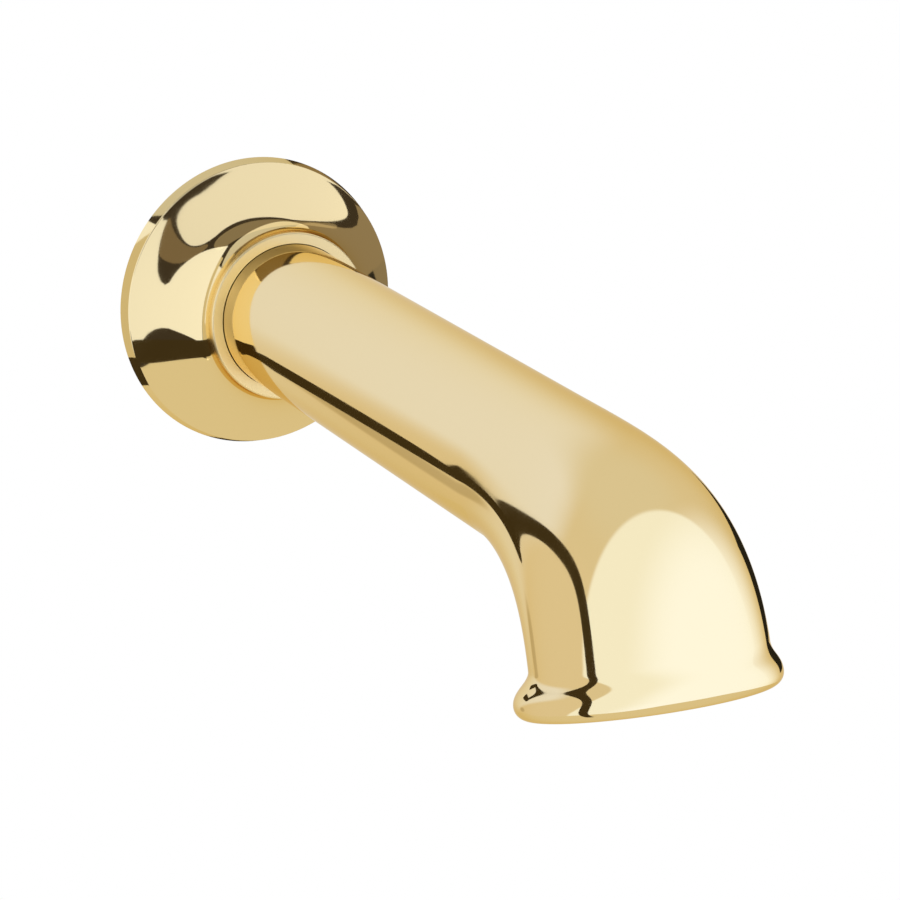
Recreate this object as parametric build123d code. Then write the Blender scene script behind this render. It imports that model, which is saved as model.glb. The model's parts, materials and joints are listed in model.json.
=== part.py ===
from build123d import *
import os
from math import cos, pi, radians, sin, tan

# Bath spout for a wall: a cast body with a falling tube and a bell outlet, a cover flange and its grip ring.
# The wall is the plane Y = 0, the spout reaches out along -Y and +Z is up.
# The origin is the centre of the flange's back, on the axis of the supply inlet.
# Lengths are in millimetres and angles in degrees.

# Wall flange: a turned cover with a tapered rim and a long cove that rises to a thick neck
flange_diameter = 65.0
flange_depth = 19.2
rim_height = 2.9
rim_taper = 0.8
rim_edge_round = 0.4
cove_run = 3.0
cove_rise = 1.4
cove_neck_rise = 7.8
neck_wall = 2.4
neck_straight = 1.7
neck_edge_round = 0.4
neck_land = 9.5
flange_wall = 2.0
flange_clearance = 0.15

# Grip ring: a rubber ring in a groove of the neck, pressed on the tube
ring_section = 2.0
ring_clearance = 0.02
groove_width = 2.6
groove_setback = 6.5

# Tube and tail of the casting, with a tapped inlet for a G 1/2 nipple
tube_diameter = 32.2
tube_fall = 4.0
casting_wall = 2.8
thread_minor_diameter = 18.631
thread_length = 15.0
thread_lead_in = 1.0
inlet_taper = 6.0
inlet_step = 1.0
cut_margin = 1.0

# Bell outlet: where its waist stands, how wide it is and how its front and back lines sweep
outlet_reach = 173.0
outlet_drop = 32.8
waist_width = 44.4
waist_depth = 41.6
mouth_tilt = 15.3
bend_length = 43.0
front_lean = 18.5
back_lean = -21.0
front_sweep_in = 37.5
front_sweep_out = 35.0
back_sweep_in = 8.7
back_sweep_out = 3.2

# Out-turned lip of the outlet
lip_flare = 2.7
lip_height = 6.0
lip_setback = 1.9
lip_sweep = 2.7
lip_round = 2.5
lip_land = 1.2

# Fineness of the outlet's form
lead_in_sections = 2
bend_sections = 10
lip_sections = 4
round_sections = 4

# Sizes that follow from the ones above
flange_radius = flange_diameter / 2
rim_radius = flange_radius - rim_taper
tube_radius = tube_diameter / 2
neck_radius = tube_radius + flange_clearance + neck_wall
bore_radius = tube_radius - casting_wall
thread_radius = thread_minor_diameter / 2
groove_radius = tube_radius + ring_section + 2 * ring_clearance

# The tube's axis meets the flange's axis at the neck's front, and falls from there
fall = radians(tube_fall)
tube_plane = Plane(
    origin=(0, 0, flange_depth * tan(fall)),
    x_dir=(1, 0, 0),
    z_dir=(0, -cos(fall), -sin(fall)),
)
neck_station = flange_depth / cos(fall)
bend_station = outlet_reach - bend_length

# Profile plane of the flange: radius along its x, distance from the wall along its y
flange_profile_plane = Plane(origin=(0, 0, 0), x_dir=(1, 0, 0), z_dir=(0, 0, -1))


def flange_face(inset: float) -> Face:
    """Half section of the flange, moved in towards the axis and the wall by inset."""
    rim_foot = (flange_radius - inset, -inset)
    rim_edge = (rim_radius - inset, rim_height - inset)
    cove_start = (rim_radius - cove_run - inset, rim_height + cove_rise - inset)
    cove_end = (neck_radius - inset, flange_depth - neck_straight - cove_neck_rise - inset)
    neck_foot = (neck_radius - inset, flange_depth - neck_straight - inset)
    neck_edge = (neck_radius - inset, flange_depth - inset)
    edges = [
        Line((0, -inset), rim_foot),
        Line(rim_foot, rim_edge),
        Bezier(rim_edge, cove_start, cove_end, neck_foot),
        Line(neck_foot, neck_edge),
        Line(neck_edge, (0, flange_depth - inset)),
        Line((0, flange_depth - inset), (0, -inset)),
    ]
    return flange_profile_plane * make_face(edges)


def tube_length(radius: float, start: float, end: float) -> Part:
    """A cylinder on the tube's axis between two stations."""
    length = end - start
    return tube_plane * Pos(0, 0, start) * Cylinder(radius, length, align=(Align.CENTER, Align.CENTER, Align.MIN))


def make_flange() -> Part:
    """The cover flange, hollow behind, with a slanted bore for the tube and a groove for the grip ring."""
    flange = revolve(flange_face(0), Axis.Y)
    rim = flange.edges().sort_by_distance((rim_radius, -rim_height, 0))[0]
    flange = fillet(rim, rim_edge_round)
    neck = flange.edges().sort_by_distance((neck_radius, -flange_depth, 0))[0]
    flange = fillet(neck, neck_edge_round)
    hollow = revolve(flange_face(flange_wall), Axis.Y)
    land_start = flange_depth - neck_land
    hollow = split(hollow, Plane.XZ.offset(land_start), keep=Keep.BOTTOM)
    bore = tube_length(tube_radius + flange_clearance, 0, neck_station + flange_depth)
    groove_middle = neck_station - groove_setback
    groove = tube_length(groove_radius, groove_middle - groove_width / 2, groove_middle + groove_width / 2)
    return flange - hollow - bore - groove


def make_grip_ring() -> Part:
    """The rubber ring between the tube and the floor of the flange's groove."""
    ring_radius = tube_radius + ring_clearance + ring_section / 2
    return tube_plane * Pos(0, 0, neck_station - groove_setback) * Torus(ring_radius, ring_section / 2)


def section(front: Vector, back: Vector, half_width: float, inset: float) -> Face:
    """An ellipse across the spout from its front line to its back line, made smaller by inset."""
    across = front - back
    plane = Plane(origin=(front + back) / 2, x_dir=(1, 0, 0), z_dir=Vector(1, 0, 0).cross(across))
    ellipse = scale(Circle(1), by=(half_width - inset, across.length / 2 - inset, 1))
    return plane * Face(ellipse.face().outer_wire())


def skin(sections: list, ruled: bool = False) -> ShapeList:
    """Side surface through a row of sections, without its flat ends."""
    return loft(sections, ruled=ruled).faces().filter_by(GeomType.PLANE, reverse=True)


def ease(t: float) -> float:
    """Smooth step from 0 to 1."""
    return t * t * (3 - 2 * t)


def direction(lean: float) -> Vector:
    """Unit vector that points down and leans out from the wall."""
    return Vector(0, -sin(radians(lean)), -cos(radians(lean)))


def at(line: Edge, t: float) -> Vector:
    """Point of a curve at its own parameter."""
    return line.position_at(t, position_mode=PositionMode.PARAMETER)


def tube_station(station: float) -> tuple:
    """Top point, under point and half width of the tube at a distance along its axis."""
    top = tube_plane.from_local_coords(Vector(0, tube_radius, station))
    under = tube_plane.from_local_coords(Vector(0, -tube_radius, station))
    return top, under, tube_radius


def wall_station() -> tuple:
    """Top point, under point and half width of the tube where the wall's plane cuts it."""
    top, under, half_width = tube_station(0)
    along = tube_plane.z_dir
    return top - along * (top.Y / along.Y), under - along * (under.Y / along.Y), half_width


def bend_stations() -> list:
    """Front point, back point and half width of each section from the straight tube to the waist."""
    along = tube_plane.z_dir
    top, under, _ = tube_station(bend_station)
    front_line = Bezier(
        top,
        top + along * front_sweep_in,
        waist_front - direction(front_lean) * front_sweep_out,
        waist_front,
    )
    back_line = Bezier(
        under,
        under + along * back_sweep_in,
        waist_back - direction(back_lean) * back_sweep_out,
        waist_back,
    )
    stations = []
    # On the straight tube the sections keep the spacing and slant that the bend starts with
    for i in range(lead_in_sections, 0, -1):
        back_off = along * (3 * i / bend_sections)
        stations.append((top - back_off * front_sweep_in, under - back_off * back_sweep_in, tube_radius))
    for i in range(bend_sections + 1):
        t = i / bend_sections
        half_width = tube_radius + (waist_width / 2 - tube_radius) * ease(t)
        stations.append((at(front_line, t), at(back_line, t), half_width))
    return stations


def lip_stations() -> list:
    """Front point, back point and half width of each section from the waist round the lip to the mouth."""
    lip_middle = waist_middle + mouth_down * lip_height - mouth_out * lip_setback
    half_depth = waist_depth / 2 + lip_flare
    half_width = waist_width / 2 + lip_flare
    lip_front = lip_middle + mouth_out * half_depth
    lip_back = lip_middle - mouth_out * half_depth
    front_line = Bezier(
        waist_front,
        waist_front + direction(front_lean) * lip_sweep,
        lip_front - mouth_down * lip_sweep,
        lip_front,
    )
    back_line = Bezier(
        waist_back,
        waist_back + direction(back_lean) * lip_sweep,
        lip_back - mouth_down * lip_sweep,
        lip_back,
    )
    stations = []
    for i in range(lip_sections + 1):
        t = i / lip_sections
        width = waist_width / 2 + lip_flare * ease(t)
        stations.append((at(front_line, t), at(back_line, t), width))
    for i in range(1, round_sections + 1):
        turn = pi / 2 * i / round_sections
        inward = lip_round * (1 - cos(turn))
        downward = mouth_down * (lip_round * sin(turn))
        front = lip_front + downward - mouth_out * inward
        back = lip_back + downward + mouth_out * inward
        stations.append((front, back, half_width - inward))
    return stations


def make_inlet() -> Part:
    """The drilled inlet: lead-in, tapping hole and the cone that opens into the waterway."""
    cone_end = thread_length + inlet_taper + cut_margin
    outline = Polyline(
        (0, -cut_margin),
        (thread_radius + thread_lead_in + cut_margin, -cut_margin),
        (thread_radius, thread_lead_in),
        (thread_radius, thread_length),
        (bore_radius - inlet_step, cone_end),
        (0, cone_end),
        close=True,
    )
    return revolve(flange_profile_plane * make_face(outline), Axis.Y)


def make_body() -> Part:
    """The hollow casting: tube, bend, bell and lip, with the waterway and the tapped inlet."""
    bend = bend_stations()
    lip = lip_stations()
    tail = section(*wall_station(), 0)
    bend_outside = [section(*station, 0) for station in bend]
    lip_outside = [section(*station, 0) for station in lip]
    outside = skin([tail, bend_outside[0]], ruled=True) + skin(bend_outside) + skin(lip_outside)

    bore_start = section(*tube_station(thread_length + inlet_taper), casting_wall)
    bend_inside = [section(*station, casting_wall) for station in bend]
    mouth_inside = section(*lip[-1], lip_land)
    inside = skin([bore_start, bend_inside[0]], ruled=True) + skin(bend_inside)
    inside += skin([bend_inside[-1], mouth_inside], ruled=True)

    mouth = Face(lip_outside[-1].outer_wire(), [mouth_inside.outer_wire()])
    casting = Solid(Shell(outside + inside + [tail, bore_start, mouth]))
    return casting - make_inlet()


# The waist and the mouth share one tilted plane direction
mouth_down = direction(mouth_tilt)
mouth_out = Vector(0, -cos(radians(mouth_tilt)), sin(radians(mouth_tilt)))
waist_middle = Vector(0, -outlet_reach, -outlet_drop)
waist_front = waist_middle + mouth_out * (waist_depth / 2)
waist_back = waist_middle - mouth_out * (waist_depth / 2)

os.makedirs("parts", exist_ok=True)
export_step(make_body(), "parts/spout_body.step")
export_step(make_flange(), "parts/wall_flange.step")
export_step(make_grip_ring(), "parts/flange_o_ring.step")
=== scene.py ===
"""Wall-hung bath spout: a polished brass casting with a bell outlet and a slip-on wall flange.

Sizes are in millimetres in the classes and become metres when a mesh is made. The wall is the plane y = 0,
the spout reaches out along -y and z is up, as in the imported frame.
"""

import json
import logging
import math
from dataclasses import dataclass
from enum import Enum
from typing import Any, Iterator

import bpy
from mathutils import Matrix, Vector

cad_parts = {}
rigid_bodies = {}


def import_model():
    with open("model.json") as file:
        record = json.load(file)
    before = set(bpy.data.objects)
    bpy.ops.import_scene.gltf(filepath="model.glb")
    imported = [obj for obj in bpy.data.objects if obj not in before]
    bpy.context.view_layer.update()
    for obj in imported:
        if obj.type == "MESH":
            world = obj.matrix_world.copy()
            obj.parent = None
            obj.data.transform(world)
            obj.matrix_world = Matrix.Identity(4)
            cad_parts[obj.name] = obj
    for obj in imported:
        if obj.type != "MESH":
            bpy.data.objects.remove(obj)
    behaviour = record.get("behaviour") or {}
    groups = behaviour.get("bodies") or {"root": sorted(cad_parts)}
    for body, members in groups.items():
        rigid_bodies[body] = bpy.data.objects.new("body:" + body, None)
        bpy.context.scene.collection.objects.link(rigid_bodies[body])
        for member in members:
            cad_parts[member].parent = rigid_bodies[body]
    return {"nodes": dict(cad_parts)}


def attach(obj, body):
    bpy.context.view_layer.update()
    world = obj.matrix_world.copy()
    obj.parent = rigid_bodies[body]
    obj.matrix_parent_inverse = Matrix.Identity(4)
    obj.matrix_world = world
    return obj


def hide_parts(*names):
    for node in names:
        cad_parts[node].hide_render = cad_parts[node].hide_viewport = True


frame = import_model()

LOG = logging.getLogger("bath_spout")
MM = 0.001
BODY = "root"
SMOOTH_ANGLE = math.radians(32.0)
TUBE_RADIUS = 16.1
FLANGE_DEPTH = 19.2
PANEL_CORNERS = 4
CORNER_CUT = 0.25
Outline = tuple[tuple[float, float], ...]


class Slot(Enum):
    """Material slots of the record; the new pieces are not given them."""

    BRASS = "polished_brass"


def linear(hex_colour: str) -> tuple[float, float, float, float]:
    """Turns an sRGB hex colour into a linear one.

    Args:
        hex_colour: six hex digits, such as "D9B36C".

    Returns:
        Linear red, green, blue and an alpha of 1.
    """
    parts = [int(hex_colour[i:i + 2], 16) / 255.0 for i in (0, 2, 4)]
    red, green, blue = [p / 12.92 if p <= 0.04045 else ((p + 0.055) / 1.055) ** 2.4 for p in parts]
    return red, green, blue, 1.0


def add_node(tree: bpy.types.NodeTree, kind: str, settings: dict[str, Any] | None = None,
             links: dict[str, Any] | None = None) -> bpy.types.Node:
    """Adds one shader node with its settings and links.

    Args:
        tree: node tree that gets the node.
        kind: Blender's type name of the node.
        settings: values by socket name, or by attribute name where the node has that attribute.
        links: output sockets by the name of the input socket that they feed.

    Returns:
        The new node.
    """
    node = tree.nodes.new(kind)
    for name, value in (settings or {}).items():
        if hasattr(node, name):
            setattr(node, name, value)
        else:
            node.inputs[name].default_value = value
    for name, output in (links or {}).items():
        tree.links.new(output, node.inputs[name])
    return node


def new_material(name: str) -> tuple[bpy.types.Material, bpy.types.NodeTree]:
    """Makes an empty node material.

    Args:
        name: what the real material is called.

    Returns:
        The material and its cleared node tree.
    """
    material = bpy.data.materials.new(name)
    material.use_nodes = True
    material.node_tree.nodes.clear()
    return material, material.node_tree


@dataclass(frozen=True)
class PolishedBrass:
    """Brass cast, buffed to a mirror and plated gold: reflections are sharp, with a faint haze."""

    name: str = "mirror_polished_gold_brass"
    colour: str = "F7E2AF"
    edge_colour: str = "F4E3BA"
    roughness_low: float = 0.035
    roughness_high: float = 0.075
    haze_size: float = 9.0
    haze_detail: float = 2.0
    haze_low: float = 0.3
    haze_high: float = 0.7
    satin_beyond: float = 0.0
    satin_roughness: float = 0.36
    satin_margin: float = 0.05
    satin_fade: float = 5.0

    def material(self) -> bpy.types.Material:
        """Builds the node material.

        Returns:
            The finished brass.
        """
        material, tree = new_material(self.name)
        place = add_node(tree, "ShaderNodeTexCoord")
        # Buffing leaves patches of slightly duller shine, about a fingertip apart
        haze = add_node(tree, "ShaderNodeTexNoise",
                        {"Scale": 1.0 / (self.haze_size * MM), "Detail": self.haze_detail},
                        {"Vector": place.outputs["Object"]})
        shine = add_node(tree, "ShaderNodeMapRange",
                         {"From Min": self.haze_low, "From Max": self.haze_high, "To Min": self.roughness_low,
                          "To Max": self.roughness_high}, {"Value": haze.outputs["Fac"]})
        roughness = shine.outputs["Result"]
        if self.satin_beyond:
            # The end face of a turned neck keeps the fine satin of the lathe
            split = add_node(tree, "ShaderNodeSeparateXYZ", links={"Vector": place.outputs["Object"]})
            face = (self.satin_margin - self.satin_beyond) * MM
            satin = add_node(tree, "ShaderNodeMapRange",
                             {"From Min": face + self.satin_fade * MM, "From Max": face, "To Min": 0.0,
                              "To Max": self.satin_roughness}, {"Value": split.outputs["Y"]})
            roughest = add_node(tree, "ShaderNodeMath", {"operation": "MAXIMUM"})
            tree.links.new(roughness, roughest.inputs[0])
            tree.links.new(satin.outputs["Result"], roughest.inputs[1])
            roughness = roughest.outputs["Value"]
        surface = add_node(tree, "ShaderNodeBsdfPrincipled",
                           {"Base Color": linear(self.colour), "Metallic": 1.0,
                            "Specular Tint": linear(self.edge_colour)}, {"Roughness": roughness})
        add_node(tree, "ShaderNodeOutputMaterial", links={"Surface": surface.outputs["BSDF"]})
        return material


@dataclass(frozen=True)
class BlackRubber:
    """Moulded nitrile rubber: nearly black and matt, with the fine grain of its mould."""

    colour: str = "1B1B1C"
    worn_colour: str = "2A2A2B"
    grain_size: float = 0.6
    grain_detail: float = 3.0
    grain_depth: float = 0.02
    grain_strength: float = 0.4
    roughness: float = 0.62
    refraction: float = 1.52

    def material(self) -> bpy.types.Material:
        """Builds the node material.

        Returns:
            The finished rubber.
        """
        material, tree = new_material("moulded_nitrile_rubber")
        place = add_node(tree, "ShaderNodeTexCoord")
        grain = add_node(tree, "ShaderNodeTexNoise",
                         {"Scale": 1.0 / (self.grain_size * MM), "Detail": self.grain_detail},
                         {"Vector": place.outputs["Object"]})
        colour = add_node(tree, "ShaderNodeMix", {"data_type": "RGBA"}, {"Factor": grain.outputs["Fac"]})
        colour.inputs["A"].default_value = linear(self.colour)
        colour.inputs["B"].default_value = linear(self.worn_colour)
        relief = add_node(tree, "ShaderNodeBump",
                          {"Strength": self.grain_strength, "Distance": self.grain_depth * MM},
                          {"Height": grain.outputs["Fac"]})
        surface = add_node(tree, "ShaderNodeBsdfPrincipled",
                           {"Roughness": self.roughness, "IOR": self.refraction},
                           {"Base Color": colour.outputs["Result"], "Normal": relief.outputs["Normal"]})
        add_node(tree, "ShaderNodeOutputMaterial", links={"Surface": surface.outputs["BSDF"]})
        return material


@dataclass(frozen=True)
class Ring:
    """One ellipse across a hollow form, in the plane of its front and back points and the x axis."""

    front: Vector
    back: Vector
    half_width: float

    @property
    def centre(self) -> Vector:
        """Middle of the ring."""
        return (self.front + self.back) / 2

    @property
    def half_depth(self) -> float:
        """Half the distance from the front point to the back point."""
        return (self.front - self.back).length / 2

    @property
    def slant(self) -> float:
        """Angle about the x axis from +y to the front point."""
        across = self.front - self.back
        return math.atan2(across.z, across.y)

    def inset(self, wall: float) -> "Ring":
        """Gives the ring made smaller all round.

        Args:
            wall: distance from the ring to the smaller one.

        Returns:
            The smaller ring in the same plane.
        """
        step = (self.front - self.back).normalized() * wall
        return Ring(self.front - step, self.back + step, self.half_width - wall)


def level_ring(radius: float, height: float, lift: float = 0.0) -> Ring:
    """Gives a round ring parallel to the wall.

    Args:
        radius: radius of the ring.
        height: distance from the wall.
        lift: how far its centre stands above the flange's axis.

    Returns:
        The ring.
    """
    return Ring(Vector((0, -height, lift + radius)), Vector((0, -height, lift - radius)), radius)


@dataclass(frozen=True)
class Sweep:
    """A cubic sweep between two points, given by its four control points."""

    start: Vector
    start_pull: Vector
    end_pull: Vector
    end: Vector

    def at(self, t: float) -> Vector:
        """Gives a point of the sweep.

        Args:
            t: place along the sweep, 0 at its start and 1 at its end.

        Returns:
            The point.
        """
        u = 1 - t
        return (self.start * u ** 3 + self.start_pull * (3 * u * u * t) + self.end_pull * (3 * u * t * t)
                + self.end * t ** 3)


def ease(t: float) -> float:
    """Smooth step from 0 to 1."""
    return t * t * (3 - 2 * t)


def steps(count: int) -> Iterator[float]:
    """Even steps after 0, up to and with 1."""
    return (i / count for i in range(1, count + 1))


@dataclass
class RingSkin:
    """A closed skin drawn from ring to ring: each ring is extruded from the last and set in its place."""

    name: str
    segments: int

    def build(self, rings: list[Ring]) -> bpy.types.Object:
        """Models the skin and closes it from its last ring to its first.

        Args:
            rings: the rings in order, round the section of the wall.

        Returns:
            The finished object, with its place in its mesh.
        """
        bpy.ops.object.select_all(action="DESELECT")
        bpy.ops.mesh.primitive_circle_add(vertices=self.segments, radius=MM, fill_type="NOTHING",
                                          location=(0, 0, 0), enter_editmode=True)
        piece = bpy.context.object
        piece.name = self.name
        bpy.ops.mesh.select_all(action="SELECT")
        unit = Ring(Vector((0, 1, 0)), Vector((0, -1, 0)), 1.0)
        self.shape(unit, rings[0])
        for last, ring in zip(rings, rings[1:]):
            bpy.ops.mesh.extrude_region_move()
            self.shape(last, ring)
        self.close(piece)
        return piece

    def shape(self, last: Ring, ring: Ring) -> None:
        """Turns, stretches and moves the selected ring from one place to the next.

        Args:
            last: where the selected ring lies.
            ring: where it goes.
        """
        middle = last.centre * MM
        # Without a window the rotate operator turns the other way, so the angles have the other sign
        bpy.ops.transform.rotate(value=last.slant, orient_axis="X", center_override=middle)
        stretch = (ring.half_width / last.half_width, ring.half_depth / last.half_depth, 1.0)
        bpy.ops.transform.resize(value=stretch, center_override=middle)
        bpy.ops.transform.rotate(value=-ring.slant, orient_axis="X", center_override=middle)
        bpy.ops.transform.translate(value=ring.centre * MM - middle)

    def close(self, piece: bpy.types.Object) -> None:
        """Bridges the open ends and shades the skin.

        Args:
            piece: the object in edit mode.
        """
        bpy.ops.mesh.select_all(action="DESELECT")
        bpy.ops.mesh.select_mode(type="EDGE")
        bpy.ops.mesh.select_non_manifold(extend=False)
        bpy.ops.mesh.bridge_edge_loops()
        bpy.ops.mesh.select_all(action="SELECT")
        bpy.ops.mesh.normals_make_consistent(inside=False)
        bpy.ops.object.mode_set(mode="OBJECT")
        bpy.ops.object.select_all(action="DESELECT")
        piece.select_set(True)
        bpy.context.view_layer.objects.active = piece
        bpy.ops.object.shade_smooth_by_angle(angle=SMOOTH_ANGLE)


def rounded(before: Vector, corner: Vector, after: Vector, radius: float, count: int) -> list[Vector]:
    """Rounds a corner of a profile.

    Args:
        before: profile point before the corner.
        corner: the sharp corner.
        after: profile point after the corner.
        radius: radius of the round.
        count: number of steps along the round.

    Returns:
        Points of the arc, from the first side to the second.
    """
    side_in = (before - corner).normalized()
    side_out = (after - corner).normalized()
    half = side_in.angle(side_out) / 2
    middle = corner + (side_in + side_out).normalized() * (radius / math.sin(half))
    first = corner + side_in * (radius / math.tan(half)) - middle
    last = corner + side_out * (radius / math.tan(half)) - middle
    swing = first.angle(last)
    points = []
    for i in range(count + 1):
        t = i / count
        spoke = (first * math.sin(swing * (1 - t)) + last * math.sin(swing * t)) / math.sin(swing)
        points.append(middle + spoke)
    return points


@dataclass
class TubeAxis:
    """The falling axis of the tube, which meets the flange's axis at the neck's front."""

    fall: float = 4.0
    flange_depth: float = FLANGE_DEPTH

    def __post_init__(self) -> None:
        """Works out the directions along and above the tube."""
        angle = math.radians(self.fall)
        self.origin = Vector((0, 0, self.flange_depth * math.tan(angle)))
        self.along = Vector((0, -math.cos(angle), -math.sin(angle)))
        self.up = Vector((0, -math.sin(angle), math.cos(angle)))
        self.neck_station = self.flange_depth / math.cos(angle)

    def ring(self, station: float, radius: float) -> Ring:
        """Gives a round ring square to the tube.

        Args:
            station: distance along the axis.
            radius: radius of the ring.

        Returns:
            The ring.
        """
        middle = self.origin + self.along * station
        return Ring(middle + self.up * radius, middle - self.up * radius, radius)

    def wall_ring(self, radius: float) -> Ring:
        """Gives the ring where the plane of the wall cuts the tube.

        Args:
            radius: radius of the tube.

        Returns:
            The ring.
        """
        top = self.origin + self.up * radius
        under = self.origin - self.up * radius
        top = top - self.along * (top.y / self.along.y)
        under = under - self.along * (under.y / self.along.y)
        return Ring(top, under, radius)


@dataclass
class WallFlange:
    """The turned cover: tapered rim, long cove and thick neck, hollow behind."""

    axis: TubeAxis
    radius: float = 32.5
    depth: float = FLANGE_DEPTH
    rim_height: float = 2.9
    rim_taper: float = 0.8
    rim_edge_round: float = 0.4
    cove_run: float = 3.0
    cove_rise: float = 1.4
    cove_neck_rise: float = 7.8
    rim_round_share: float = 0.05
    neck_wall: float = 2.4
    neck_straight: float = 1.7
    neck_edge_round: float = 0.4
    neck_land: float = 9.5
    wall: float = 2.0
    bore_clearance: float = 0.15
    ring_section: float = 2.0
    ring_clearance: float = 0.02
    groove_width: float = 2.6
    groove_setback: float = 6.5
    cove_steps: int = 48
    round_steps: int = 8
    segments: int = 192

    def __post_init__(self) -> None:
        """Works out the radii of the bore, the neck and the groove."""
        self.bore_radius = TUBE_RADIUS + self.bore_clearance
        self.neck_radius = self.bore_radius + self.neck_wall
        self.groove_radius = TUBE_RADIUS + self.ring_section + 2 * self.ring_clearance

    def cove(self, inset: float) -> Sweep:
        """Gives the sweep from the rim's edge to the neck.

        Args:
            inset: how far the sweep is moved towards the axis and the wall.

        Returns:
            The sweep, with the radius as x and the distance from the wall as y.
        """
        rim = self.radius - self.rim_taper - inset
        foot = self.rim_height - inset
        neck = self.neck_radius - inset
        top = self.depth - self.neck_straight - inset
        return Sweep(Vector((rim, foot)), Vector((rim - self.cove_run, foot + self.cove_rise)),
                     Vector((neck, top - self.cove_neck_rise)), Vector((neck, top)))

    def outside(self) -> list[Vector]:
        """Profile from the rim's foot to the neck's front face.

        Returns:
            Points with the radius as x and the distance from the wall as y.
        """
        cove = self.cove(0.0)
        foot = Vector((self.radius, 0.0))
        points = [foot]
        # The rim's round takes up the first share of the cove
        beyond_round = cove.at(self.rim_round_share)
        points += rounded(foot, cove.start, beyond_round, self.rim_edge_round, self.round_steps)
        points += [cove.at(t) for t in steps(self.cove_steps) if t > self.rim_round_share]
        neck_edge = Vector((self.neck_radius, self.depth))
        bore_edge = Vector((self.bore_radius, self.depth))
        points += rounded(cove.end, neck_edge, bore_edge, self.neck_edge_round, self.round_steps)
        return points

    def inside(self) -> list[Vector]:
        """Profile of the hollow, from the face of the neck's land to the back of the rim.

        Returns:
            Points with the radius as x and the distance from the wall as y.
        """
        cove = self.cove(self.wall)
        land = self.depth - self.neck_land
        points = [cove.start] + [cove.at(t) for t in steps(self.cove_steps)]
        hollow = [p for p in points if p.y < land]
        beyond = points[len(hollow)]
        last = hollow[-1]
        hollow.append(last.lerp(beyond, (land - last.y) / (beyond.y - last.y)))
        rim_slope = self.rim_taper / self.rim_height
        hollow.insert(0, Vector((cove.start.x + cove.start.y * rim_slope, 0.0)))
        return hollow[::-1]

    def build(self) -> bpy.types.Object:
        """Models the flange as one closed skin.

        Returns:
            The flange.
        """
        rings = [level_ring(p.x, p.y) for p in self.outside()]
        rings.append(level_ring(self.bore_radius, self.depth))
        middle = self.axis.neck_station - self.groove_setback
        for offset, radius in ((0.5, self.bore_radius), (0.5, self.groove_radius),
                               (-0.5, self.groove_radius), (-0.5, self.bore_radius)):
            rings.append(self.axis.ring(middle + offset * self.groove_width, radius))
        land = self.depth - self.neck_land
        lift = (self.depth - land) * math.tan(math.radians(self.axis.fall))
        rings.append(level_ring(self.bore_radius, land, lift))
        rings += [level_ring(p.x, p.y) for p in self.inside()]
        return RingSkin("wall_flange_turned", self.segments).build(rings)

    def dress(self, piece: bpy.types.Object, brass: bpy.types.Material) -> None:
        """Gives the flange its finish and its place in the frame.

        Args:
            piece: the flange.
            brass: its finish.
        """
        piece.data.materials.append(brass)
        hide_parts("wall_flange")
        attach(piece, BODY)


def leaning(lean: float) -> Vector:
    """Unit vector that points down and leans out from the wall by an angle in degrees."""
    return Vector((0, -math.sin(math.radians(lean)), -math.cos(math.radians(lean))))


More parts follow.
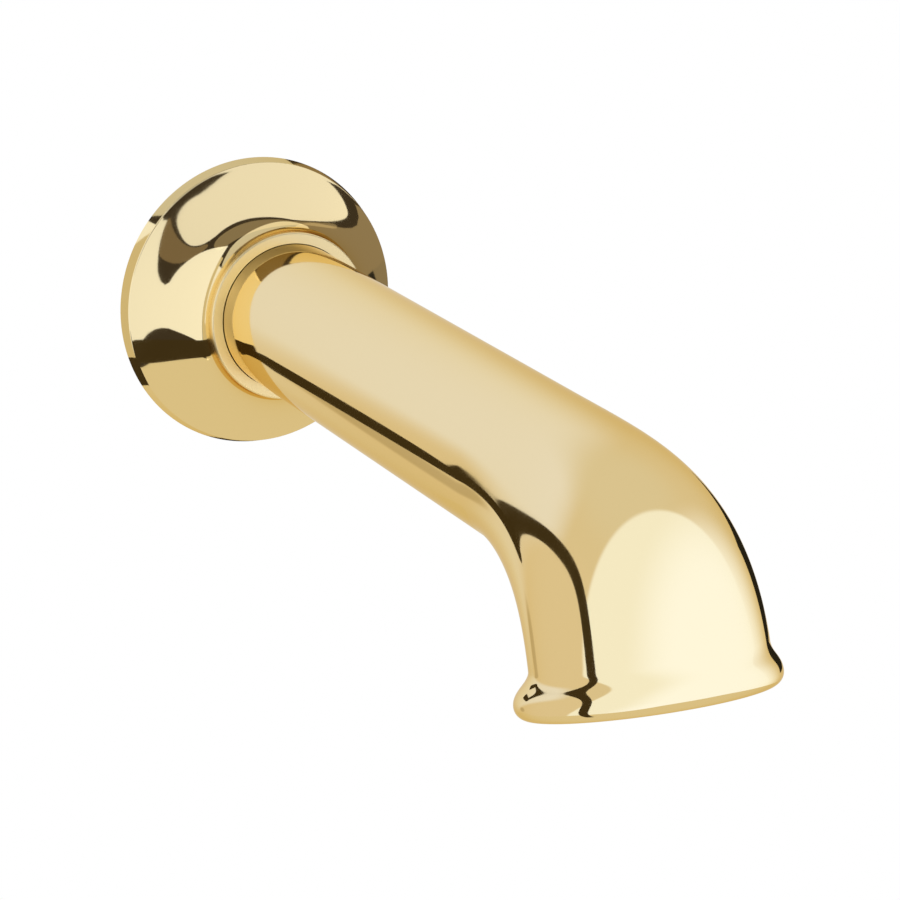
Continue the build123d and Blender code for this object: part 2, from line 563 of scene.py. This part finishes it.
@dataclass
class SpoutBody:
    """The hollow casting: tail with its tapped inlet, falling tube, bend, bell and out-turned lip."""

    axis: TubeAxis
    tube_radius: float = TUBE_RADIUS
    casting_wall: float = 2.8
    thread_radius: float = 9.3155
    thread_length: float = 15.0
    thread_lead_in: float = 1.0
    inlet_taper: float = 6.0
    inlet_step: float = 1.0
    outlet_reach: float = 173.0
    outlet_drop: float = 32.8
    waist_half_width: float = 22.2
    waist_half_depth: float = 20.8
    mouth_tilt: float = 15.3
    bend_length: float = 43.0
    front_lean: float = 18.5
    back_lean: float = -21.0
    front_sweep_in: float = 37.5
    front_sweep_out: float = 35.0
    back_sweep_in: float = 8.7
    back_sweep_out: float = 3.2
    lip_flare: float = 2.7
    lip_height: float = 6.0
    lip_setback: float = 1.9
    lip_sweep: float = 2.7
    lip_round: float = 2.5
    lip_land: float = 1.2
    tube_steps: int = 8
    bend_steps: int = 64
    lip_steps: int = 20
    round_steps: int = 12
    segments: int = 192

    def __post_init__(self) -> None:
        """Works out the waist and the directions of the mouth."""
        tilt = math.radians(self.mouth_tilt)
        self.mouth_down = leaning(self.mouth_tilt)
        self.mouth_out = Vector((0, -math.cos(tilt), math.sin(tilt)))
        self.waist_middle = Vector((0, -self.outlet_reach, -self.outlet_drop))
        self.waist_front = self.waist_middle + self.mouth_out * self.waist_half_depth
        self.waist_back = self.waist_middle - self.mouth_out * self.waist_half_depth

    def bend(self) -> list[Ring]:
        """Gives the rings from the straight tube to the waist.

        Returns:
            The rings, from the tube's end to the waist.
        """
        along = self.axis.along
        start = self.axis.ring(self.outlet_reach - self.bend_length, self.tube_radius)
        front = Sweep(start.front, start.front + along * self.front_sweep_in,
                      self.waist_front - leaning(self.front_lean) * self.front_sweep_out, self.waist_front)
        back = Sweep(start.back, start.back + along * self.back_sweep_in,
                     self.waist_back - leaning(self.back_lean) * self.back_sweep_out, self.waist_back)
        swell = self.waist_half_width - self.tube_radius
        rings = [start]
        for t in steps(self.bend_steps):
            rings.append(Ring(front.at(t), back.at(t), self.tube_radius + swell * ease(t)))
        return rings

    def lip(self) -> list[Ring]:
        """Gives the rings from below the waist round the lip to the plane of the mouth.

        Returns:
            The rings, from the waist to the mouth.
        """
        middle = self.waist_middle + self.mouth_down * self.lip_height - self.mouth_out * self.lip_setback
        half_depth = self.waist_half_depth + self.lip_flare
        half_width = self.waist_half_width + self.lip_flare
        lip_front = middle + self.mouth_out * half_depth
        lip_back = middle - self.mouth_out * half_depth
        pull = self.mouth_down * self.lip_sweep
        front = Sweep(self.waist_front, self.waist_front + leaning(self.front_lean) * self.lip_sweep,
                      lip_front - pull, lip_front)
        back = Sweep(self.waist_back, self.waist_back + leaning(self.back_lean) * self.lip_sweep,
                     lip_back - pull, lip_back)
        rings = []
        for t in steps(self.lip_steps):
            rings.append(Ring(front.at(t), back.at(t), self.waist_half_width + self.lip_flare * ease(t)))
        for t in steps(self.round_steps):
            turn = t * math.pi / 2
            inward = self.lip_round * (1 - math.cos(turn))
            down = self.mouth_down * (self.lip_round * math.sin(turn))
            rings.append(Ring(lip_front + down - self.mouth_out * inward,
                              lip_back + down + self.mouth_out * inward, half_width - inward))
        return rings

    def inlet(self) -> list[Ring]:
        """Gives the rings of the drilled inlet, from the waterway out to the wall.

        Returns:
            The rings, from the cone's wide end to the lead-in at the wall.
        """
        bore_start = self.thread_length + self.inlet_taper
        wide = self.tube_radius - self.casting_wall - self.inlet_step
        return [
            level_ring(wide, bore_start),
            level_ring(self.thread_radius, self.thread_length),
            level_ring(self.thread_radius, self.thread_lead_in),
            level_ring(self.thread_radius + self.thread_lead_in, 0.0),
        ]

    def build(self) -> bpy.types.Object:
        """Models the casting as one closed skin, outside and waterway.

        Returns:
            The casting.
        """
        bend = self.bend()
        lip = self.lip()
        tail = self.axis.wall_ring(self.tube_radius)
        rings = [tail]
        bend_station = self.outlet_reach - self.bend_length
        for i in range(1, self.tube_steps):
            rings.append(self.axis.ring(bend_station * i / self.tube_steps, self.tube_radius))
        rings += bend + lip
        mouth_edge = lip[-1].inset(self.lip_land)
        waterway = [ring.inset(self.casting_wall) for ring in reversed(bend)]
        bore_start = self.thread_length + self.inlet_taper
        waterway.append(self.axis.ring(bore_start, self.tube_radius - self.casting_wall))
        rings += [mouth_edge] + waterway + self.inlet()
        return RingSkin("spout_casting", self.segments).build(rings)

    def dress(self, piece: bpy.types.Object, brass: bpy.types.Material) -> None:
        """Gives the casting its finish and its place in the frame.

        Args:
            piece: the casting.
            brass: its finish.
        """
        piece.data.materials.append(brass)
        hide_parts("spout_body")
        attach(piece, BODY)


@dataclass
class GripRing:
    """The rubber ring in the flange's neck, kept as its solid."""

    node: str = "flange_o_ring"

    def dress(self, rubber: bpy.types.Material) -> None:
        """Gives the ring its finish.

        Args:
            rubber: its finish.
        """
        ring = frame["nodes"][self.node]
        ring.data.materials.clear()
        ring.data.materials.append(rubber)


@dataclass(frozen=True)
class StudioCamera:
    """The photograph's viewpoint: a long lens, high and to the left of the spout, a little tilted."""

    image_side: float = 900.0
    focal_pixels: float = 3090.0
    distance: float = 695.3
    azimuth: float = 26.72
    elevation: float = 15.24
    roll: float = -1.3
    origin_x: float = 255.9
    origin_y: float = 300.5
    sensor: float = 36.0
    clip_start: float = 10.0

    def build(self) -> bpy.types.Object:
        """Makes the camera and sets it as the scene's.

        Returns:
            The camera.
        """
        a, e, r = (math.radians(v) for v in (self.azimuth, self.elevation, self.roll))
        back = Vector((-math.sin(a) * math.cos(e), -math.cos(a) * math.cos(e), math.sin(e)))
        right = Vector((math.cos(a), -math.sin(a), 0))
        up = back.cross(right)
        right, up = right * math.cos(r) + up * math.sin(r), up * math.cos(r) - right * math.sin(r)
        across = (self.origin_x - self.image_side / 2) / self.focal_pixels
        above = -(self.origin_y - self.image_side / 2) / self.focal_pixels
        place = (back - right * across - up * above) * (self.distance * MM)
        bpy.ops.object.camera_add()
        camera = bpy.context.object
        camera.name = "studio_camera"
        camera.data.sensor_width = self.sensor
        camera.data.lens = self.focal_pixels / self.image_side * self.sensor
        camera.data.clip_start = self.clip_start * MM
        turn = Matrix((right, up, back)).transposed().to_4x4()
        camera.matrix_world = Matrix.Translation(place) @ turn
        bpy.context.scene.camera = camera
        return camera


class Receiver(Enum):
    """Piece in whose polish a sheet shows; a sheet for both is a plain board."""

    CASTING = "spout_casting"
    FLANGE = "wall_flange_turned"
    BOTH = "both"


def glossy_only(thing: bpy.types.Object) -> None:
    """Lets a stage object show in reflections alone, out of the picture and without a shadow.

    Args:
        thing: the stage object.
    """
    thing.visible_camera = False
    thing.visible_diffuse = False
    thing.visible_shadow = False


def show_in(thing: bpy.types.Object, receiver: Receiver) -> None:
    """Links a lit stage object to the one piece that mirrors it.

    Args:
        thing: the stage object.
        receiver: the piece.
    """
    if receiver is Receiver.BOTH:
        return
    group = bpy.data.collections.get(receiver.value) or bpy.data.collections.new(receiver.value)
    if not group.objects:
        group.objects.link(bpy.data.objects[receiver.value])
    thing.light_linking.receiver_collection = group


def see_through(tree: bpy.types.NodeTree, glow: bpy.types.NodeSocket) -> bpy.types.NodeSocket:
    """Adds a glow to what lies behind it, so that a linked sheet is clear for the other piece.

    Args:
        tree: node tree of the material.
        glow: output of the glow.

    Returns:
        Output of the glow and the view through it together.
    """
    clear = add_node(tree, "ShaderNodeBsdfTransparent")
    both = add_node(tree, "ShaderNodeAddShader")
    tree.links.new(glow, both.inputs[0])
    tree.links.new(clear.outputs["BSDF"], both.inputs[1])
    return both.outputs["Shader"]


@dataclass(frozen=True)
class Glow:
    """Evenly lit cloth or board: its colour is what the metal mirrors."""

    name: str
    colour: str
    strength: float = 1.0
    fade: float = 1.0
    clear: bool = False

    def material(self) -> bpy.types.Material:
        """Builds the node material.

        Returns:
            The glow, whose strength is multiplied by the fade at the sheet's left edge.
        """
        material, tree = new_material(self.name)
        place = add_node(tree, "ShaderNodeTexCoord")
        split = add_node(tree, "ShaderNodeSeparateXYZ", links={"Vector": place.outputs["Generated"]})
        level = add_node(tree, "ShaderNodeMapRange",
                         {"To Min": self.strength * self.fade, "To Max": self.strength},
                         {"Value": split.outputs["X"]})
        glow = add_node(tree, "ShaderNodeEmission", {"Color": linear(self.colour)},
                        {"Strength": level.outputs["Result"]})
        surface = glow.outputs["Emission"]
        if self.clear:
            surface = see_through(tree, surface)
        add_node(tree, "ShaderNodeOutputMaterial", links={"Surface": surface})
        return material


def panel(left: float, right: float, low: float, high: float) -> Outline:
    """Outline of a square-cornered sheet."""
    return (left, low), (right, low), (right, high), (left, high)


def softened(outline: Outline) -> Outline:
    """Cuts each corner of a closed outline.

    Args:
        outline: corners in order.

    Returns:
        Twice as many corners, each turn half as sharp.
    """
    points = []
    for (ax, ay), (bx, by) in zip(outline, outline[1:] + outline[:1]):
        for share in (CORNER_CUT, 1 - CORNER_CUT):
            points.append((ax + (bx - ax) * share, ay + (by - ay) * share))
    return tuple(points)


def flat_sheet(name: str, outline: Outline, height: float = 0.0) -> bpy.types.Object:
    """Makes a flat sheet.

    Args:
        name: name of the sheet.
        outline: its corners in order.
        height: how far it lies above its own origin.

    Returns:
        The sheet, with its origin at the scene's.
    """
    mesh = bpy.data.meshes.new(name)
    corners = [Vector((x, y, height)) * MM for x, y in outline]
    mesh.from_pydata(corners, [], [tuple(range(len(corners)))])
    sheet = bpy.data.objects.new(name, mesh)
    bpy.context.scene.collection.objects.link(sheet)
    return sheet


@dataclass(frozen=True)
class Place:
    """Where a sheet hangs: its origin, and the way it faces as a turn and a lift in degrees."""

    origin: tuple[float, float, float]
    turn: float = 0.0
    lift: float = 0.0

    def matrix(self) -> Matrix:
        """Gives the sheet's place in the room.

        Returns:
            The matrix that takes the sheet's own plane there.
        """
        turn, lift = math.radians(self.turn), math.radians(self.lift)
        out = Vector((math.sin(turn) * math.cos(lift), -math.cos(turn) * math.cos(lift), math.sin(lift)))
        across = Vector((math.cos(turn), math.sin(turn), 0))
        facing = Matrix((across, out.cross(across), out)).transposed().to_4x4()
        return Matrix.Translation(Vector(self.origin) * MM) @ facing


class Side(Enum):
    """Sides of the studio where sheets hang."""

    LEFT = Place((-150, 0, 0), turn=-90)
    RIGHT = Place((200, 0, 0), turn=90)
    ABOVE = Place((0, 0, 162), lift=90)
    BELOW = Place((0, 0, -330), lift=90)
    BEHIND = Place((0, 150, 300), turn=180)
    FRONT = Place((20, -400, -20))
    BEHIND_RIGHT = Place((211, -29, -55), turn=128, lift=-8)


@dataclass(frozen=True)
class Card:
    """A flat sheet of the studio that only the polished metal shows."""

    name: str
    side: Side
    outline: Outline
    colour: str
    strength: float = 1.0
    fade: float = 1.0
    receiver: Receiver = Receiver.BOTH

    def build(self) -> bpy.types.Object:
        """Makes the sheet and hangs it: a panel keeps its corners, a drawn outline is softened.

        Returns:
            The sheet.
        """
        outline = self.outline if len(self.outline) == PANEL_CORNERS else softened(softened(self.outline))
        sheet = flat_sheet(self.name, outline)
        sheet.matrix_world = self.side.value.matrix()
        linked = self.receiver is not Receiver.BOTH
        glow = Glow(self.name, self.colour, self.strength, self.fade, clear=linked)
        sheet.data.materials.append(glow.material())
        glossy_only(sheet)
        show_in(sheet, self.receiver)
        return sheet


@dataclass(frozen=True)
class Rod:
    """A dark rail of the studio, drawn past points, that the metal mirrors as a thin line."""

    name: str
    points: tuple[tuple[float, float, float], ...]
    radii: tuple[float, ...]
    colour: str
    curve_order: int = 3
    curve_steps: int = 8
    round_steps: int = 3

    def build(self) -> bpy.types.Object:
        """Makes the rail as a round bent bar.

        Returns:
            The rail.
        """
        bpy.ops.object.select_all(action="DESELECT")
        curve = bpy.data.curves.new(self.name, "CURVE")
        curve.dimensions = "3D"
        curve.bevel_depth = MM
        curve.bevel_resolution = self.round_steps
        line = curve.splines.new("NURBS")
        line.points.add(len(self.points) - 1)
        line.use_endpoint_u = True
        line.order_u = self.curve_order
        line.resolution_u = self.curve_steps
        for spot, place, radius in zip(line.points, self.points, self.radii):
            spot.co = (*(Vector(place) * MM), 1.0)
            spot.radius = radius
        rail = bpy.data.objects.new(self.name, curve)
        bpy.context.scene.collection.objects.link(rail)
        rail.select_set(True)
        bpy.context.view_layer.objects.active = rail
        bpy.ops.object.convert(target="MESH")
        rail.data.materials.append(Glow(self.name, self.colour).material())
        glossy_only(rail)
        return rail


@dataclass(frozen=True)
class Cloth:
    """One breadth of the tent: where its colour begins and is full, along a direction from the middle."""

    aim: tuple[float, float, float]
    start: float
    full: float
    colour: str


@dataclass(frozen=True)
class Tent:
    """The round cloth tent over the casting, whose breadths differ a little in colour, in an unlit room."""

    radius: float = 800.0
    centre: tuple[float, float, float] = (0.0, -165.0, -10.0)
    strength: float = 1.6
    side: str = "B1AB9C"
    # Wall behind, ceiling, ground, left foot, a shade beside the rail, front window and its bright corner
    cloths: tuple[Cloth, ...] = (
        Cloth((-0.25, 1, 0.35), 0.68, 0.98, "BDC2D2"),
        Cloth((0, 0, 1), 0.62, 0.95, "B1AEA4"),
        Cloth((0, 0, -1), 0.3, 0.75, "B1AA96"),
        Cloth((-1, 0, -0.8), 0.38, 0.58, "B3AC9D"),
        Cloth((-0.323, 0.888, -0.326), 0.994, 0.9985, "9B9382"),
        Cloth((0, -1, -0.25), 0.06, 0.12, "C9D2E2"),
        Cloth((0.5, -0.8, -0.4), 0.1, 0.7, "D2DFFE"),
    )
    dark: str = "3F3830"
    dark_radius: float = 1500.0
    segments: int = 96
    rings: int = 48

    def material(self) -> bpy.types.Material:
        """Builds the cloth's glow, which changes with the direction from the middle of the tent.

        Returns:
            The glow.
        """
        material, tree = new_material("tent_cloth")
        place = add_node(tree, "ShaderNodeTexCoord")
        way = add_node(tree, "ShaderNodeVectorMath", {"operation": "NORMALIZE"})
        tree.links.new(place.outputs["Object"], way.inputs[0])
        colour = None
        for cloth in self.cloths:
            along = add_node(tree, "ShaderNodeVectorMath", {"operation": "DOT_PRODUCT"})
            tree.links.new(way.outputs["Vector"], along.inputs[0])
            along.inputs[1].default_value = cloth.aim
            blend = add_node(tree, "ShaderNodeMapRange",
                             {"interpolation_type": "SMOOTHSTEP",
                              "From Min": cloth.start, "From Max": cloth.full},
                             {"Value": along.outputs["Value"]})
            mix = add_node(tree, "ShaderNodeMix", {"data_type": "RGBA"}, {"Factor": blend.outputs["Result"]})
            if colour is None:
                mix.inputs["A"].default_value = linear(self.side)
            else:
                tree.links.new(colour, mix.inputs["A"])
            mix.inputs["B"].default_value = linear(cloth.colour)
            colour = mix.outputs["Result"]
        glow = add_node(tree, "ShaderNodeEmission", {"Strength": self.strength}, {"Color": colour})
        surface = see_through(tree, glow.outputs["Emission"])
        add_node(tree, "ShaderNodeOutputMaterial", links={"Surface": surface})
        return material

    def ball(self, name: str, radius: float, material: bpy.types.Material) -> bpy.types.Object:
        """Makes a round shell about the middle of the tent.

        Args:
            name: name of the shell.
            radius: its radius.
            material: its glow.

        Returns:
            The shell.
        """
        bpy.ops.object.select_all(action="DESELECT")
        bpy.ops.mesh.primitive_uv_sphere_add(segments=self.segments, ring_count=self.rings,
                                             radius=radius * MM, location=Vector(self.centre) * MM)
        shell = bpy.context.object
        shell.name = name
        shell.data.materials.append(material)
        glossy_only(shell)
        return shell

    def build(self) -> None:
        """Puts up the cloth for the casting and the unlit room beyond it."""
        cloth = self.ball("tent", self.radius, self.material())
        show_in(cloth, Receiver.CASTING)
        self.ball("unlit_room", self.dark_radius, Glow("unlit_room", self.dark).material())


@dataclass(frozen=True)
class Floor:
    """Plain pale floor below the spout."""

    height: float = -331.0
    outline: Outline = panel(-600.0, 600.0, -700.0, 230.0)
    colour: str = "FBFAF7"
    speck_colour: str = "F6F4EF"
    speck_size: float = 4.0

    def material(self) -> bpy.types.Material:
        """Builds the node material.

        Returns:
            The finished floor paint.
        """
        # Sanded paint: matt and almost white, with specks that are barely seen
        material, tree = new_material("pale_sand_floor")
        place = add_node(tree, "ShaderNodeTexCoord")
        specks = add_node(tree, "ShaderNodeTexNoise", {"Scale": 1.0 / (self.speck_size * MM)},
                          {"Vector": place.outputs["Object"]})
        mix = add_node(tree, "ShaderNodeMix", {"data_type": "RGBA"}, {"Factor": specks.outputs["Fac"]})
        mix.inputs["A"].default_value = linear(self.colour)
        mix.inputs["B"].default_value = linear(self.speck_colour)
        surface = add_node(tree, "ShaderNodeBsdfDiffuse", links={"Color": mix.outputs["Result"]})
        add_node(tree, "ShaderNodeOutputMaterial", links={"Surface": surface.outputs["BSDF"]})
        return material

    def build(self) -> bpy.types.Object:
        """Makes the floor.

        Returns:
            The floor.
        """
        floor = flat_sheet("floor", self.outline, self.height)
        floor.data.materials.append(self.material())
        floor.visible_glossy = False
        return floor


@dataclass
class Studio:
    """White room with a cloth tent, soft cards round the spout, one dark rail and a pale floor."""

    white: str = "FFFFFF"
    cards: tuple[Card, ...] = (
        # Dark line down the right edge of the outlet
        Card("edge_flag", Side.BEHIND_RIGHT, panel(-55, 55, -42, 42), "272727"),
        # Warm light from below, with the curved edge of the flange's lower dark patch
        Card("floor_cloth", Side.BELOW,
             ((500, -640), (300, -800), (-60, -850), (-240, -510), (-400, -310), (-410, -80), (-260, 230),
              (-330, 420), (250, 480), (500, 330)), "E1D8BF"),
        # Bright left half of the flange, notched where its dark wedge ends
        Card("left_cloth", Side.LEFT,
             ((-66, -98), (-50, -92), (40, -60), (110, -45), (190, -105), (457, -290), (457, 277), (220, 115),
              (105, 10), (100, 90), (60, 195), (-60, 315), (-66, 320)),
             "EEF4FF", strength=0.98, fade=1.17, receiver=Receiver.FLANGE),
        # Darker hem and bright end of the left cloth, which the flange's rim mirrors
        Card("left_seam", Side.LEFT, panel(-100, -66, -40, 200), "CEC4A6", receiver=Receiver.FLANGE),
        Card("left_end", Side.LEFT, panel(-220, -100, -40, 150), "EEF4FF", strength=1.1,
             receiver=Receiver.FLANGE),
        Card("left_foot", Side.LEFT, panel(-240, -66, -168, -40), "CEC4A6", receiver=Receiver.FLANGE),
        # Brown upper part of the flange's wedge
        Card("wedge_board", Side.LEFT,
             ((180, 78), (96, 84), (66, 190), (90, 222), (110, 150), (200, 155), (445, 268), (220, 115)),
             "6C5F4B", receiver=Receiver.FLANGE),
        # Bright arch over the flange's cove, and the brown band under it
        Card("ceiling_cloth", Side.ABOVE,
             ((-110, -222), (-60, -205), (-10, -150), (90, -175), (400, -172), (570, -120), (400, -5),
              (160, 70), (60, 5), (-20, -42), (-115, -65), (-165, -150)),
             "F3F7FF", strength=1.04, fade=0.88, receiver=Receiver.FLANGE),
        Card("ceiling_board", Side.ABOVE,
             ((430, 0), (160, 80), (60, 18), (-20, -28), (-112, -52), (-112, 10), (-30, 30), (140, 130),
              (450, 60)),
             "7C7361", receiver=Receiver.FLANGE),
        # Brown right side of the flange
        Card("right_board", Side.RIGHT,
             ((-200, -150), (250, -150), (250, 230), (94, 200), (0, 60), (-60, 40), (-178, 155), (-200, 165)),
             "877C69", receiver=Receiver.FLANGE),
        # Soft light on the rim's upper edge and on the satin neck
        Card("back_cloth", Side.BEHIND, ((-250, -190), (90, -190), (175, -128), (175, 200), (-250, 200)),
             "CECEC8", receiver=Receiver.FLANGE),
        Card("front_cloth", Side.FRONT, panel(-160, 420, -200, 150), "F3F7FF", receiver=Receiver.FLANGE),
    )
    # Dark line along the tube and down the outlet
    rail: Rod = Rod(
        "dark_rail",
        ((-43, 32, -31), (-54, -33, -28), (-58, -54, -31), (-53, -63, -26), (-58, -81, -6), (-82, -111, 19),
         (-97, -160, 26), (-104, -192, 7), (-106, -205, -33), (-106, -205, -180)),
        (7.4, 7.4, 5.2, 4.6, 4.3, 5.6, 6.9, 7.9, 8.1, 8.1), "3F3521")

    def light(self) -> None:
        """Makes the world's even white light."""
        world = bpy.data.worlds.new("white_studio")
        bpy.context.scene.world = world
        world.use_nodes = True
        tree = world.node_tree
        tree.nodes.clear()
        light = add_node(tree, "ShaderNodeBackground", {"Color": linear(self.white), "Strength": 1.0})
        add_node(tree, "ShaderNodeOutputWorld", links={"Surface": light.outputs["Background"]})

    def build(self) -> None:
        """Makes the light, the tent, the floor, the cards and the rail."""
        bpy.context.scene.view_settings.view_transform = "Standard"
        self.light()
        Tent().build()
        Floor().build()
        for card in self.cards:
            card.build()
        self.rail.build()


def main() -> None:
    """Builds and dresses the spout, the studio and the camera."""
    logging.basicConfig(level=logging.INFO, format="%(message)s")
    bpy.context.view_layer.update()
    brass = PolishedBrass().material()
    rubber = BlackRubber().material()
    axis = TubeAxis()

    body = SpoutBody(axis)
    casting = body.build()
    body.dress(casting, brass)
    LOG.info("%s: %d faces", casting.name, len(casting.data.polygons))

    flange = WallFlange(axis)
    cover = flange.build()
    flange.dress(cover, PolishedBrass("turned_gold_brass", satin_beyond=flange.depth).material())
    LOG.info("%s: %d faces", cover.name, len(cover.data.polygons))

    GripRing().dress(rubber)
    LOG.info("grip ring dressed")

    Studio().build()
    StudioCamera().build()
    LOG.info("studio and camera set")


if __name__ == "__main__":
    main()
